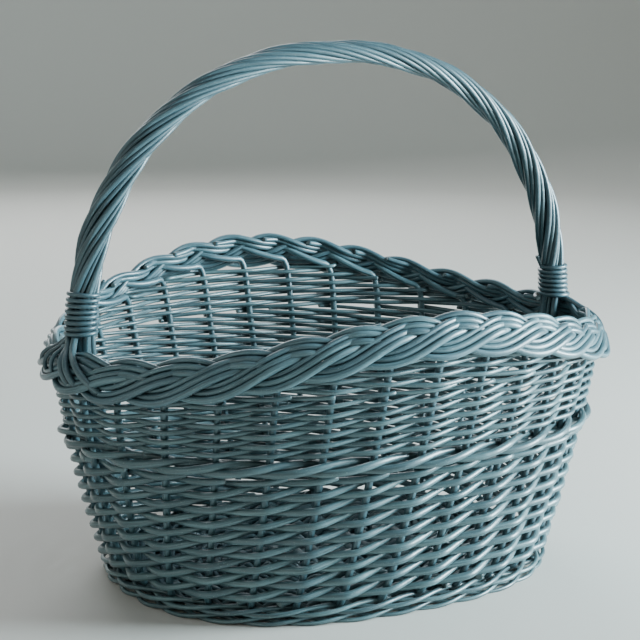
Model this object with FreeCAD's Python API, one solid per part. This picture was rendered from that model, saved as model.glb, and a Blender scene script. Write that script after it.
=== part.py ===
import FreeCAD, Part
import math
import os

# A free-standing oval willow basket with a roped bow handle.
# Millimetres, +Z up, +X along the length, -Y the front.
# The origin is the middle of the rim's oval, on the plane the basket stands on.

Vector = FreeCAD.Vector

# ---------------------------------------------------------------- driving dimensions
STAKE_COUNT = 30              # upright stakes round the wall
RIM_HALF_LENGTH = 193.0       # stake line at the rim
RIM_HALF_WIDTH = 140.5
RIM_SQUARENESS = 2.0          # exponent of the rim's oval, 2 is a plain ellipse
BASE_HALF_LENGTH = 144.0      # stake line where it leaves the base
BASE_HALF_WIDTH = 115.0
BASE_SQUARENESS = 2.4
BASE_SHIFT_X = -4.5           # the wall leans out a little more at the +X end
END_HEIGHT = 164.0            # rim height at the two handle ends
SIDE_RISE = 34.5              # how much higher the long sides stand
RISE_POWER = 1.35             # above 1 keeps the rise to the middle of the sides
BACK_LIFT = 6.0               # the back stands this much over, and the front this much under
FLARE_POWER = 1.29            # above 1 makes the wall splay most near the base

STAKE_RADIUS = 2.3            # all the way up the wall
STAKE_BEND = 12.0             # spacing of the control points where a stake turns up
STAKE_PRESS = 0.6             # how far a stake is pressed into the base stick beside it
LONG_STICKS = 4               # the rest of the base's sticks lie across them
CROSS_STICK_RADIUS = 3.8
LONG_STICK_RADIUS = 2.2
CROSS_STICK_PITCH = 12.0
LONG_STICK_PITCH = 7.2
SLOT_CLEARANCE = 0.1          # play where the long sticks pass through the cross sticks
ROUND_GAP = 0.4               # stake spacings between the ends of a strand that goes once round
BASE_ROWS = 11
BASE_MARGIN = 0.8             # rows' width left free at the base's edge for the stakes
BASE_BUTT, BASE_TIP = 2.0, 1.5
UPSETT_BUTT, UPSETT_TIP = 1.6, 1.3
UPSETT_SPREAD = 1.5           # how far a strand swings above and below its round
UPSETT_PITCH = 5.8
WORN_DEPTH = 0.35             # how far the standing edge is rubbed flat
KINK = 0.98                   # how sharply a weaver bends at a stake, 0 is a plain wave and 1 a fold
KINK_GAIN = 1.1               # makes up for the curve rounding off the bends
WEAVER_TAIL = 0.4             # stake spacings a weaver runs past its first and last stake
LOWER_ROWS = 18
LOWER_BUTT, LOWER_TIP = 2.45, 2.3
WALE_HEIGHT = 104.0
WALE_BUTT, WALE_TIP = 2.7, 2.2
WALE_SPREAD = 2.6
WALE_LAP = 0.1                # stake spacings the front band's ends lie over the back band's
WALE_MEAN, WALE_SWING = 0.3, 1.25     # a strand's way out of the wall, in touching distances
UPPER_ROWS = 14
UPPER_BUTT, UPPER_TIP = 1.65, 1.5
PACKING_BUTT, PACKING_TIP = 1.6, 1.45
PACKING_PITCH = 3.1           # from one packing row to the next
BORDER_DROP = 13.0            # the weave stops this far under the rim line, behind the plait

PLAIT_TIP = 1.75              # a stake's radius at its cut end in the plait
BORDER_PERIOD = 4             # stake spacings from one crest of a strand to the next
BORDER_SPAN = 11.6            # stake spacings a stake runs in the plait before it is cut
BORDER_LEAD = 1.1             # stake spacings it leans along behind the plait before that
BORDER_SLOT = 4.1             # spacing of the rods that lie side by side in a strand
SLOT_CHANGE = 3.2             # how far into each period a rod moves up to the next slot
BORDER_WAVE = 9.0             # half the plait's width, to the middle of a strand
BORDER_SKEW = 0.2             # above 0 a strand comes down steeply and goes up slowly
BORDER_CREST = 0.3            # above 0 it stays longer on the top edge than on the lower one
BORDER_DEPTH = 2.4            # how far strands stand off the plait's middle where they cross
PLAIT_BULGE = 1.4             # the most they stand off, as a share of that
LEAN_START = -2.7             # where a leaning stake starts across the plait
LEAN_BEHIND = 7.9             # and how far behind its middle
BORDER_TILT = math.radians(30.0)
BORDER_OUT = 2.5              # plait centre, outside the stake line
BORDER_DOWN = 10.0            # plait centre, below the rim line

HANDLE_HALF_SPAN = 181.0
HANDLE_TOP = 347.0
HANDLE_SQUARENESS = 2.19
CORE_FOOT_RADIUS, CORE_TOP_RADIUS = 4.4, 3.8
CORE_FOOT_Z = 70.0            # the bow's ends reach this far down inside the wall
LEG_JOIN = 12.0               # its arch becomes a leg this far under the rim
ROPE_BUNDLES = 3
ROPE_RODS = 4                 # rods in each bundle
ROPE_BUTT, ROPE_TIP = 2.2, 1.35
ROPE_TURNS = 3.4
ROPE_COVER = 0.92             # share of the bow's skin that the bundles cover
ROPE_HEAP = 0.7               # how much the middle rods of a bundle stand over the outer ones
ROPE_BULGE = 1.5              # the roping stands off the bow above a binding
BULGE_RISE, BULGE_FALL, BULGE_END = 0.13, 0.2, 0.32   # shares of the bow it does so over
ROPE_LEG = (150.0, 138.0, 126.0, 114.0)     # heights of a roping end that runs down inside the wall
BINDING_BUTT, BINDING_TIP = 1.65, 1.4
BINDING_GRIP = 5.3            # from the bow's surface to the middle of the binding rod
LOOSE_TURN = 3.5              # how far the lowest turn on the +X leg stands away
BINDING_PITCH = 3.4           # the turns lie against each other
LEFT_BINDING = (172.0, 200.0)     # bottom and top, on the -X leg
RIGHT_BINDING = (170.0, 193.0)    # and on the +X leg
STUB_COURSE = ((3.0, 0.8), (6.0, 1.6), (9.0, 3.0))    # up from the last turn and away from the leg
THICK_FAN = 0.95              # stake spacings the thick roping ends slant towards the front
THIN_FAN = -0.4               # and the thin ones towards the back
FAN_SPREAD = 0.45             # how far neighbouring ends spread, as a share of that
# A tail over the plait: shares of its slant, of the plait's half width and of the height over its strands.
TAIL_COURSE = ((0.35, 1.1, 0.5), (0.55, 0.6, 0.85), (0.75, 0.0, 0.9), (0.95, -0.6, 0.5), (1.1, -0.95, -0.2))

SIDES = 5                     # control points round a rod
STEPS = 6                     # control points along a rod for each stake spacing
BASE_STEPS = 4                # the same in the base
STAKE_STEPS = 0.03            # for each millimetre of a stake
LEG_STEPS = 0.08              # for each millimetre of the bow's legs
ROPE_STEPS = 16               # for each turn of the roping
BINDING_STEPS = 14            # for each turn of a binding
NEAR_TURN = 0.002             # a share of the way round, short enough to measure a direction
NEAR_Z = 2.0                  # a height, short enough to measure a slope

# ---------------------------------------------------------------- worked-out values
PLAN_SAMPLES = 1440
BASE_PLANE_Z = CROSS_STICK_RADIUS + 2 * BASE_BUTT
CROSS_STICKS = STAKE_COUNT // 2 - LONG_STICKS
STAKE_BESIDE = CROSS_STICK_RADIUS + STAKE_RADIUS - STAKE_PRESS
LOWER_START = 12.0
WALE_HALF = WALE_SPREAD + WALE_TIP
LOWER_PITCH = (WALE_HEIGHT - WALE_HALF - LOWER_START) / LOWER_ROWS
UPPER_START = WALE_HEIGHT + WALE_HALF
UPPER_PITCH = (END_HEIGHT - BORDER_DROP - UPPER_START) / UPPER_ROWS
PACKING_START = END_HEIGHT - BORDER_DROP
CORE_OFFSET = HANDLE_HALF_SPAN - RIM_HALF_LENGTH
LEG_TOP = END_HEIGHT - LEG_JOIN


# ---------------------------------------------------------------- the basket's shape
def oval(half_length, half_width, squareness):
    """Points of a superellipse with the share of the perimeter at each."""
    points, lengths = [], [0.0]
    for i in range(PLAN_SAMPLES + 1):
        angle = 2 * math.pi * i / PLAN_SAMPLES
        c, s = math.cos(angle), math.sin(angle)
        x = half_length * math.copysign(abs(c) ** (2 / squareness), c)
        y = half_width * math.copysign(abs(s) ** (2 / squareness), s)
        points.append(Vector(x, y, 0))
        if i:
            lengths.append(lengths[-1] + (points[-1] - points[-2]).Length)
    return points, [length / lengths[-1] for length in lengths], lengths[-1]


def on_oval(plan, turn):
    """The point a share of the way round, counter-clockwise from +X."""
    points, shares, _ = plan
    turn = turn % 1.0
    low, high = 0, len(shares) - 1
    while high - low > 1:
        middle = (low + high) // 2
        if shares[middle] > turn:
            high = middle
        else:
            low = middle
    part = (turn - shares[low]) / max(shares[high] - shares[low], 1e-12)
    return points[low] + (points[high] - points[low]) * part


BASE_OVAL = oval(BASE_HALF_LENGTH, BASE_HALF_WIDTH, BASE_SQUARENESS)
RIM_OVAL = oval(RIM_HALF_LENGTH, RIM_HALF_WIDTH, RIM_SQUARENESS)
RIM_SPACING = RIM_OVAL[2] / STAKE_COUNT
BASE_SPACING = BASE_OVAL[2] / STAKE_COUNT
# A stake starts beside one base stick and stands nearly one place further round at the rim.
WALL_TWIST = (1 - STAKE_BESIDE / BASE_SPACING) / STAKE_COUNT


def stake_turn(index):
    return (index + 0.5) / STAKE_COUNT


def rim_height(turn):
    side = math.sin(2 * math.pi * turn) ** 2
    return END_HEIGHT + SIDE_RISE * side ** RISE_POWER + BACK_LIFT * math.sin(2 * math.pi * turn)


def base_point(turn):
    return on_oval(BASE_OVAL, turn) + Vector(BASE_SHIFT_X, 0, 0)


def wall_centre(turn, z):
    """A point of the stake surface, at a height."""
    part = z / rim_height(turn)
    splay = 1 - max(1 - part, 0.0) ** FLARE_POWER
    low = base_point(turn - WALL_TWIST)
    high = on_oval(RIM_OVAL, turn)
    point = low + (high - low) * splay
    return Vector(point.x, point.y, z)


def wall_axes(turn, z):
    """Along the row, up the wall and out of the wall."""
    along = (wall_centre(turn + NEAR_TURN, z) - wall_centre(turn - NEAR_TURN, z)).normalize()
    up = wall_centre(turn, min(z + NEAR_Z, rim_height(turn))) - wall_centre(turn, max(z - NEAR_Z, 0.0))
    outward = along.cross(up).normalize()
    return along, outward.cross(along).normalize(), outward


def wall_point(turn, z, out=0.0, beside=0.0, up=0.0):
    along, rise, outward = wall_axes(turn, z)
    return wall_centre(turn, z) + along * beside + rise * up + outward * out


# ---------------------------------------------------------------- rods
def frames_along(points):
    """Directions across a path that don't spin round it."""
    count = len(points)
    tangents = []
    for i in range(count):
        tangents.append((points[min(i + 1, count - 1)] - points[max(i - 1, 0)]).normalize())
    side = tangents[0].cross(Vector(0, 0, 1))
    if side.Length < 0.3:
        side = tangents[0].cross(Vector(0, 1, 0))
    frames = []
    for tangent in tangents:
        side = (side - tangent * side.dot(tangent)).normalize()
        frames.append((side, tangent.cross(side)))
    return frames


def rod(points, radii):
    """A solid rod whose middle line follows the points, with a radius for each."""
    pole_gain = 3 / (2 + math.cos(2 * math.pi / SIDES))
    columns = [[] for _ in range(SIDES)]
    for i, (side, across) in enumerate(frames_along(points)):
        radius = pole_gain * radii[i]
        for j in range(SIDES):
            angle = 2 * math.pi * j / SIDES
            ray = side * math.cos(angle) + across * math.sin(angle)
            columns[j].append(points[i] + ray * radius)
    spans = len(points) - 3
    surface = Part.BSplineSurface()
    surface.buildFromPolesMultsKnots(
        columns,
        [1] * (SIDES + 1),
        [4] + [1] * (spans - 1) + [4],
        list(range(SIDES + 1)),
        list(range(spans + 1)),
        True, False, 3, 3,
    )
    skin = surface.toShape()
    ends = [edge for edge in skin.Edges if edge.isClosed()]
    caps = [Part.Face(Part.Wire(edge)) for edge in ends]
    shell = Part.Shell([skin] + caps)
    shell.sewShape()
    solid = Part.Solid(shell)
    if solid.Volume < 0:
        solid.reverse()
    return solid


def taper(count, butt, tip):
    return [butt + (tip - butt) * i / (count - 1) for i in range(count)]


def rods(paths, butt, tip):
    return [rod(path, taper(len(path), butt, tip)) for path in paths]


def steps(first, last, per_unit=STEPS):
    """Evenly spaced values from first to last."""
    count = max(3, round((last - first) * per_unit))
    return [first + (last - first) * i / count for i in range(count + 1)]


def smooth(value):
    value = min(max(value, 0.0), 1.0)
    return value * value * (3 - 2 * value)


def kinked(phase):
    """A cosine wave made straight between its crests, as willow is between stakes."""
    return KINK_GAIN * math.asin(KINK * math.cos(phase)) / math.asin(KINK)


# ---------------------------------------------------------------- base
def block_point(place):
    """The edge of the block of crossed sticks, counted in stick ends from the +X end."""
    half_length = CROSS_STICKS / 2 * CROSS_STICK_PITCH
    half_width = (LONG_STICKS - 1) / 2 * LONG_STICK_PITCH + CROSS_STICK_PITCH / 2
    place = place % STAKE_COUNT
    back = place < STAKE_COUNT / 2
    index = place if back else STAKE_COUNT - 1 - place
    if index < LONG_STICKS / 2 - 0.5:
        point = Vector(half_length, (index + 0.5) * LONG_STICK_PITCH, 0)
    elif index > STAKE_COUNT / 2 - LONG_STICKS / 2 - 0.5:
        point = Vector(-half_length, (STAKE_COUNT / 2 - 0.5 - index) * LONG_STICK_PITCH, 0)
    else:
        point = Vector((STAKE_COUNT / 4 - 0.5 - index) * CROSS_STICK_PITCH, half_width, 0)
    return Vector(point.x + BASE_SHIFT_X, point.y if back else -point.y, 0)


def base_disc(place, part):
    """A point of the base, from the stick block (part 0) to its edge (part 1)."""
    low = math.floor(place)
    inner = block_point(low) + (block_point(low + 1) - block_point(low)) * smooth(place - low)
    outer = base_point(stake_turn(place))
    point = inner + (outer - inner) * part
    return Vector(point.x, point.y, BASE_PLANE_Z)


def stick_path(first_end, second_end):
    """A base stick straight across the block and fanned out to two ends."""
    reach = [0.96, 0.8, 0.6, 0.4, 0.2, 0.0]
    first = [base_disc(first_end, part) for part in reach]
    second = [base_disc(second_end, part) for part in reversed(reach)]
    middle = [first[-1] + (second[0] - first[-1]) * (i / 4) for i in (1, 2, 3)]
    return first + middle + second


def base_cross_sticks():
    half_slot = (LONG_STICKS - 1) / 2 * LONG_STICK_PITCH + LONG_STICK_RADIUS + SLOT_CLEARANCE
    height = 2 * (LONG_STICK_RADIUS + SLOT_CLEARANCE)
    corner = Vector(-BASE_HALF_LENGTH, -half_slot, BASE_PLANE_Z - height / 2)
    slot = Part.makeBox(2 * BASE_HALF_LENGTH, 2 * half_slot, height, corner)
    sticks = []
    for end in range(LONG_STICKS // 2, STAKE_COUNT // 2 - LONG_STICKS // 2):
        path = stick_path(end, STAKE_COUNT - 1 - end)
        stick = rod(path, taper(len(path), CROSS_STICK_RADIUS, CROSS_STICK_RADIUS))
        sticks.append(stick.cut(slot).Solids[0])
    return sticks


def base_long_sticks():
    half = STAKE_COUNT // 2
    pairs = [(0, half - 1), (1, half - 2), (STAKE_COUNT - 1, half), (STAKE_COUNT - 2, half + 1)]
    return rods([stick_path(*pair) for pair in pairs], LONG_STICK_RADIUS, LONG_STICK_RADIUS)


def base_weavers():
    """Two strands twisting round each other between the sticks, spiralling outwards."""
    lift = CROSS_STICK_RADIUS + BASE_BUTT
    paths = []
    for row in range(BASE_ROWS):
        for strand in (0, 1):
            first = row * STAKE_COUNT + strand * STAKE_COUNT / 2
            path = []
            for place in steps(first + ROUND_GAP / 2, first + STAKE_COUNT - ROUND_GAP / 2, BASE_STEPS):
                part = (place / STAKE_COUNT + 0.5) / (BASE_ROWS + BASE_MARGIN)
                away = (base_disc(place, 1.0) - base_disc(place, 0.0)).normalize()
                phase = math.pi * (place + strand)
                swing = away * (BASE_BUTT * math.sin(phase)) + Vector(0, 0, lift * math.cos(phase))
                path.append(base_disc(place, part) + swing)
            paths.append(path)
    return rods(paths, BASE_BUTT, BASE_TIP)


# ---------------------------------------------------------------- wall
def stake_leg(index):
    """A stake lies beside a base stick, turns up at the base edge and stands to the plait."""
    turn = stake_turn(index)
    edge = base_point(turn - WALL_TWIST) + Vector(0, 0, BASE_PLANE_Z)
    inward = (base_disc(index - 1, 0.0) - base_disc(index - 1, 1.0)).normalize()
    path = [edge + inward * (STAKE_BEND * i) for i in (4, 3, 2, 1, 0)]
    top = rim_height(turn) - BORDER_DOWN - 2 * STAKE_RADIUS
    return path + [wall_centre(turn, z) for z in steps(BASE_PLANE_Z + STAKE_BEND, top, STAKE_STEPS)]


def randing(rows, start_z, pitch, butt, tip):
    """One rod for every stake, each going behind one stake and before the next."""
    paths = []
    for first in range(STAKE_COUNT):
        path = []
        for step in steps(-WEAVER_TAIL, rows - 1 + WEAVER_TAIL):
            radius = butt + (tip - butt) * step / rows
            out = -(STAKE_RADIUS + radius) * kinked(math.pi * step)
            path.append(wall_point(stake_turn(first + step), start_z + pitch * (step + 0.5), out))
        paths.append(path)
    return rods(paths, butt, tip)


def wale_path(first, last, strand, z, radius, spread):
    """A strand that goes before two stakes and behind one, rising over its neighbours."""
    path = []
    for place in steps(first, last):
        phase = 2 * math.pi * (place - strand) / 3
        out = (STAKE_RADIUS + radius) * (WALE_MEAN - WALE_SWING * math.cos(phase))
        up = -spread * math.sin(phase)
        path.append(wall_point(stake_turn(place), z, out, 0.0, up))
    return path


def upsett_round(level):
    """A round of three-rod wale that locks the stakes at the base edge, rubbed flat where it stands."""
    z = UPSETT_BUTT - WORN_DEPTH + UPSETT_SPREAD + level * UPSETT_PITCH
    paths = []
    for strand in range(3):
        first = strand + STAKE_COUNT // 3 * level
        last = first + STAKE_COUNT - ROUND_GAP
        paths.append(wale_path(first, last, strand, z, UPSETT_BUTT, UPSETT_SPREAD))
    size = 4 * RIM_HALF_LENGTH
    table = Part.makeBox(size, size, size, Vector(-size / 2, -size / 2, -size))
    return [solid.cut(table).Solids[0] for solid in rods(paths, UPSETT_BUTT, UPSETT_TIP)]


def middle_wale(start):
    """Half of a heavier three-rod band, laid round one long side."""
    paths = []
    for strand in range(3):
        first = start + strand - 0.5
        last = first + STAKE_COUNT / 2 + WALE_LAP
        paths.append(wale_path(first, last, strand + start, WALE_HEIGHT, WALE_BUTT, WALE_SPREAD))
    return rods(paths, WALE_BUTT, WALE_TIP)


def packing_reach(middle, z):
    """How many stakes either side of the middle a row at this height can use."""
    reach = 0
    while rim_height(stake_turn(middle + reach + 1)) - BORDER_DROP > z and reach < STAKE_COUNT // 4:
        reach += 1
    return reach


def packing_row(middle, row, heading):
    """One pass across a raised side, ending in a turn round the outermost stake."""
    z = PACKING_START + PACKING_PITCH * (row + 0.5)
    reach = packing_reach(middle, z)
    path = []
    for place in steps(-reach, reach):
        out = (STAKE_RADIUS + PACKING_BUTT) * kinked(math.pi * (place * heading + row))
        path.append(wall_point(stake_turn(middle + place * heading), z, out))
    turn = stake_turn(middle + reach * heading)
    path.append(wall_point(turn, z + PACKING_PITCH / 2, 0.0, heading * (STAKE_RADIUS + PACKING_BUTT)))
    return path


def packing(middle):
    """Rows to and fro that fill the raised middle of a long side."""
    rows = 0
    while packing_reach(middle, PACKING_START + PACKING_PITCH * (rows + 0.5)) > 1:
        rows += 1
    paths = []
    for row in range(0, rows, 2):
        path = packing_row(middle, row, 1)
        if row + 1 < rows:
            path += packing_row(middle, row + 1, -1)
        paths.append(path)
    return rods(paths, PACKING_BUTT, PACKING_TIP)


# ---------------------------------------------------------------- border
def border_point(place, across, over):
    """A point of the plait: across its width towards the top, and over its face."""
    turn = stake_turn(place)
    rim = on_oval(RIM_OVAL, turn)
    ahead = on_oval(RIM_OVAL, turn + NEAR_TURN) - on_oval(RIM_OVAL, turn - NEAR_TURN)
    outward = Vector(ahead.y, -ahead.x, 0).normalize()
    up = Vector(0, 0, 1)
    centre = Vector(rim.x, rim.y, rim_height(turn) - BORDER_DOWN) + outward * BORDER_OUT
    width_axis = up * math.cos(BORDER_TILT) - outward * math.sin(BORDER_TILT)
    face_axis = outward * math.cos(BORDER_TILT) + up * math.sin(BORDER_TILT)
    return centre + width_axis * across + face_axis * over


def stake_lean(index):
    """A stake leans along behind the plait on its way up to the top edge."""
    path = []
    for share in (0.2, 0.4, 0.6, 0.8):
        across = LEAN_START + (BORDER_WAVE - BORDER_SLOT - LEAN_START) * share
        over = -LEAN_BEHIND * math.cos(math.pi / 2 * share ** 2)
        path.append(border_point(index + BORDER_LEAD * share, across, over))
    return path


def plait_path(index):
    """Where a stake runs in the plait: over the top edge, then down and up three times."""
    path = []
    for place in steps(0.0, BORDER_SPAN):
        turned = 2 * math.pi * place / BORDER_PERIOD
        phase = turned + BORDER_SKEW * (1 - math.cos(turned)) - BORDER_CREST * math.sin(turned)
        pace = 1 + BORDER_SKEW * math.sin(turned) - BORDER_CREST * math.cos(turned)
        slope = -BORDER_WAVE * math.sin(phase) * pace * 2 * math.pi / BORDER_PERIOD / RIM_SPACING
        length = math.hypot(1.0, slope)
        moves = smooth(place - SLOT_CHANGE) + smooth(place - SLOT_CHANGE - BORDER_PERIOD)
        slot = BORDER_SLOT * (moves - 1)
        across = BORDER_WAVE * math.cos(phase) + slot / length
        shift = -slot * slope / length / RIM_SPACING
        # Strands coming down pass over the next one at the top edge and under it from there on.
        over = BORDER_DEPTH * (math.sin(2 * turned) + (math.sin(3 * turned) - math.sin(turned)) / 2)
        path.append(border_point(index + BORDER_LEAD + place + shift, across, over))
    return path


def stakes(first, last):
    """Each stake stands in the wall and ends in the plait."""
    solids = []
    for index in range(first, last):
        upright = stake_leg(index) + stake_lean(index)
        plait = plait_path(index)
        radii = [STAKE_RADIUS] * len(upright) + taper(len(plait), STAKE_RADIUS, PLAIT_TIP)
        solids.append(rod(upright + plait, radii))
    return solids


# ---------------------------------------------------------------- handle
def bow_point(part):
    """The bow's middle line, from the -X foot (0) to the +X foot (1)."""
    angle = math.pi * part
    c, s = math.cos(angle), math.sin(angle)
    x = -HANDLE_HALF_SPAN * math.copysign(abs(c) ** (2 / HANDLE_SQUARENESS), c)
    z = END_HEIGHT + (HANDLE_TOP - END_HEIGHT) * max(s, 0.0) ** (2 / HANDLE_SQUARENESS)
    return Vector(x, 0, z)


def leg_point(end, z):
    """The bow below the rim, lying against the inside of the wall."""
    turn = 0.5 if end < 0 else 0.0
    return wall_point(turn, z, CORE_OFFSET)


def even_bow(count):
    """Evenly spaced points of the arch."""
    fine = [bow_point(i / 400) for i in range(401)]
    lengths = [0.0]
    for a, b in zip(fine, fine[1:]):
        lengths.append(lengths[-1] + (b - a).Length)
    points, index = [], 0
    for i in range(count + 1):
        wanted = lengths[-1] * i / count
        while index < 399 and lengths[index + 1] < wanted:
            index += 1
        part = (wanted - lengths[index]) / (lengths[index + 1] - lengths[index])
        points.append(fine[index] + (fine[index + 1] - fine[index]) * min(part, 1.0))
    return points


ARCH_STEPS = 72
ARCH = even_bow(ARCH_STEPS)
ARCH_LENGTH = sum((b - a).Length for a, b in zip(ARCH, ARCH[1:]))


def core_radius(part):
    """Thick at the feet and slim at the grip."""
    return CORE_FOOT_RADIUS + (CORE_TOP_RADIUS - CORE_FOOT_RADIUS) * math.sin(math.pi * part)


def handle_bow():
    """One stout rod bent into the arch, its ends pushed down inside the wall."""
    left = [leg_point(-1, z) for z in steps(CORE_FOOT_Z, LEG_TOP, LEG_STEPS)]
    right = [leg_point(1, z) for z in steps(CORE_FOOT_Z, LEG_TOP, LEG_STEPS)]
    path = left + ARCH[1:-1:2] + right[::-1]
    arch_count = len(ARCH[1:-1:2])
    arch = [core_radius((i + 0.5) / arch_count) for i in range(arch_count)]
    feet = [CORE_FOOT_RADIUS] * len(left)
    return [rod(path, feet + arch + feet)]


def round_bow(part, angle, distance):
    """A point round the arch, the angle counted from its outside towards the front."""
    place = min(max(part, 0.0), 1.0) * ARCH_STEPS
    low = min(int(place), ARCH_STEPS - 1)
    centre = ARCH[low] + (ARCH[low + 1] - ARCH[low]) * (place - low)
    ahead = (ARCH[min(low + 2, ARCH_STEPS)] - ARCH[max(low - 1, 0)]).normalize()
    front = Vector(0, -1, 0)
    outside = ahead.cross(front)
    return centre - outside * (distance * math.cos(angle)) + front * (distance * math.sin(angle))


def binding_parts(end):
    """The shares of the arch at which a leg's binding begins and ends."""
    low, high = LEFT_BINDING if end < 0 else RIGHT_BINDING
    bottom = (low - END_HEIGHT) / ARCH_LENGTH
    top = (high - END_HEIGHT) / ARCH_LENGTH
    return (bottom, top) if end < 0 else (1 - bottom, 1 - top)


def tail_path(start, end, sideways):
    """From under a binding, slantwise down the plait's outer face and in between its strands."""
    foot = -0.5 if end > 0 else STAKE_COUNT / 2 - 0.5
    clear = PLAIT_BULGE * BORDER_DEPTH + STAKE_RADIUS + ROPE_BUTT
    path = []
    for share, across, over in TAIL_COURSE:
        path.append(border_point(foot - end * sideways * share, BORDER_WAVE * across, clear * over))
    return [start + (path[0] - start) * 0.5 + Vector(0, 0, ROPE_TIP)] + path


def rope_angle(index, part):
    bundle, slot = divmod(index, ROPE_RODS)
    fan = (slot - (ROPE_RODS - 1) / 2) * ROPE_COVER / ROPE_RODS
    return 2 * math.pi * ((bundle + 0.5 + fan) / ROPE_BUNDLES + ROPE_TURNS * part)


def rope_radius(index, part):
    """Every other rod has its butt at the other foot."""
    along = part if index % 2 == 0 else 1 - part
    return ROPE_BUTT + (ROPE_TIP - ROPE_BUTT) * along


def rope_rod(index):
    """A thin rod laid spirally round the bow from foot to foot."""
    outermost = index % ROPE_RODS in (0, ROPE_RODS - 1)
    heap = 0.0 if outermost else ROPE_HEAP
    left, right = binding_parts(-1)[0], binding_parts(1)[0]
    path, radii = [], []
    for step in steps(0.0, 1.0, ROPE_STEPS * ROPE_TURNS):
        part = left + (right - left) * step
        radius = rope_radius(index, part)
        near = min(step, 1 - step)
        bulge = ROPE_BULGE * smooth(near / BULGE_RISE) * smooth((BULGE_END - near) / BULGE_FALL)
        stand_off = heap + bulge
        path.append(round_bow(part, rope_angle(index, part), core_radius(part) + radius + stand_off))
        radii.append(radius)
    return path, radii


def rope_leg(index, end):
    """Below its binding a roping rod runs down inside the wall beside the bow."""
    part = binding_parts(end)[0]
    angle = rope_angle(index, part)
    radius = CORE_FOOT_RADIUS + rope_radius(index, part)
    inward = Vector(-end, 0, 0)
    offset = inward * abs(radius * math.cos(angle)) + Vector(0, -radius * math.sin(angle), 0)
    return [leg_point(end, z) + offset for z in ROPE_LEG]


def handle_roping(end):
    """The roping rods whose thick ends are at one foot, which are every other one."""
    solids = []
    for index in range(0 if end < 0 else 1, ROPE_BUNDLES * ROPE_RODS, 2):
        path, radii = rope_rod(index)
        ends = []
        for foot, start in ((-1, path[0]), (1, path[-1])):
            angle = rope_angle(index, binding_parts(foot)[0])
            if math.cos(angle) > 0.0:
                fan = THICK_FAN if foot == end else THIN_FAN
                ends.append(tail_path(start, foot, fan + FAN_SPREAD * math.sin(angle)))
            else:
                ends.append(rope_leg(index, foot))
        path = ends[0][::-1] + path + ends[1]
        radii = [radii[0]] * len(ends[0]) + radii + [radii[-1]] * len(ends[1])
        solids.append(rod(path, radii))
    return solids


def handle_binding(end):
    """A thin rod wound tightly round one leg, its end left standing on the inside."""
    bottom, top = binding_parts(end)
    grip = core_radius(bottom) + BINDING_GRIP
    turns = round(abs(top - bottom) * ARCH_LENGTH / BINDING_PITCH)
    path = []
    for turn in steps(0.0, turns, BINDING_STEPS):
        part = bottom + (top - bottom) * turn / turns
        loose = LOOSE_TURN * smooth(1 - turn) if end > 0 else 0.0
        path.append(round_bow(part, 2 * math.pi * turn + math.pi, grip + loose))
    for rise, away in STUB_COURSE:
        path.append(round_bow(top - end * rise / ARCH_LENGTH, math.pi, grip + away))
    return rods([path], BINDING_BUTT, BINDING_TIP)


# ---------------------------------------------------------------- the parts
PARTS = {
    "base_long_sticks": base_long_sticks,
    "base_cross_sticks": base_cross_sticks,
    "base_weavers": base_weavers,
    "upsett_bottom_round": lambda: upsett_round(0),
    "upsett_top_round": lambda: upsett_round(1),
    "lower_weavers": lambda: randing(LOWER_ROWS, LOWER_START, LOWER_PITCH, LOWER_BUTT, LOWER_TIP),
    "back_middle_wale": lambda: middle_wale(0),
    "front_middle_wale": lambda: middle_wale(STAKE_COUNT // 2),
    "upper_weavers": lambda: randing(UPPER_ROWS, UPPER_START, UPPER_PITCH, UPPER_BUTT, UPPER_TIP),
    "front_packing": lambda: packing(0.75 * STAKE_COUNT - 0.5),
    "back_packing": lambda: packing(0.25 * STAKE_COUNT - 0.5),
    "back_stakes": lambda: stakes(0, STAKE_COUNT // 2),
    "front_stakes": lambda: stakes(STAKE_COUNT // 2, STAKE_COUNT),
    "handle_bow": handle_bow,
    "left_roping_rods": lambda: handle_roping(-1),
    "right_roping_rods": lambda: handle_roping(1),
    "left_handle_binding": lambda: handle_binding(-1),
    "right_handle_binding": lambda: handle_binding(1),
}

os.makedirs("parts", exist_ok=True)
for name, build in PARTS.items():
    Part.makeCompound(build()).exportStep(os.path.join("parts", name + ".step"))
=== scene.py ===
import math
import random

import bpy
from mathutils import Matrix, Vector, noise


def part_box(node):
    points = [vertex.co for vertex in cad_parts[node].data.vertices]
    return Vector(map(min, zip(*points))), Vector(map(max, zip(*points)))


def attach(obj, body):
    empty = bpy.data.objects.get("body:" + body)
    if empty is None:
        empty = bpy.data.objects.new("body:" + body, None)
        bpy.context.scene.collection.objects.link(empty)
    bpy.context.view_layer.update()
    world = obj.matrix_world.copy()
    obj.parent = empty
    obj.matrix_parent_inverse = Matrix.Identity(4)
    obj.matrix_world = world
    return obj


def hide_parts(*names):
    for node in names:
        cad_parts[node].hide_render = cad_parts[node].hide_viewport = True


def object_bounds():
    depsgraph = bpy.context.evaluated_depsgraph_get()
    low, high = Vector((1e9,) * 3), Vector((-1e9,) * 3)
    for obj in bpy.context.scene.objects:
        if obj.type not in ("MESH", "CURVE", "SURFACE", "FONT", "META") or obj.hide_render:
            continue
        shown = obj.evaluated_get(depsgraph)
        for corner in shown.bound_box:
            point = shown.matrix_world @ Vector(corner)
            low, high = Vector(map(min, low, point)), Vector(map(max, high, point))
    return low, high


# A woven willow basket: every CAD rod is laid again as a rod with grain, knots and cut ends.
# Lengths are in millimetres until a mesh, a light or the camera is made.
# A place is counted in stakes, a turn is a share of the way round, counter-clockwise from +X,
# and an end is -1 or 1 for the handle's -X or +X foot.

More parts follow.
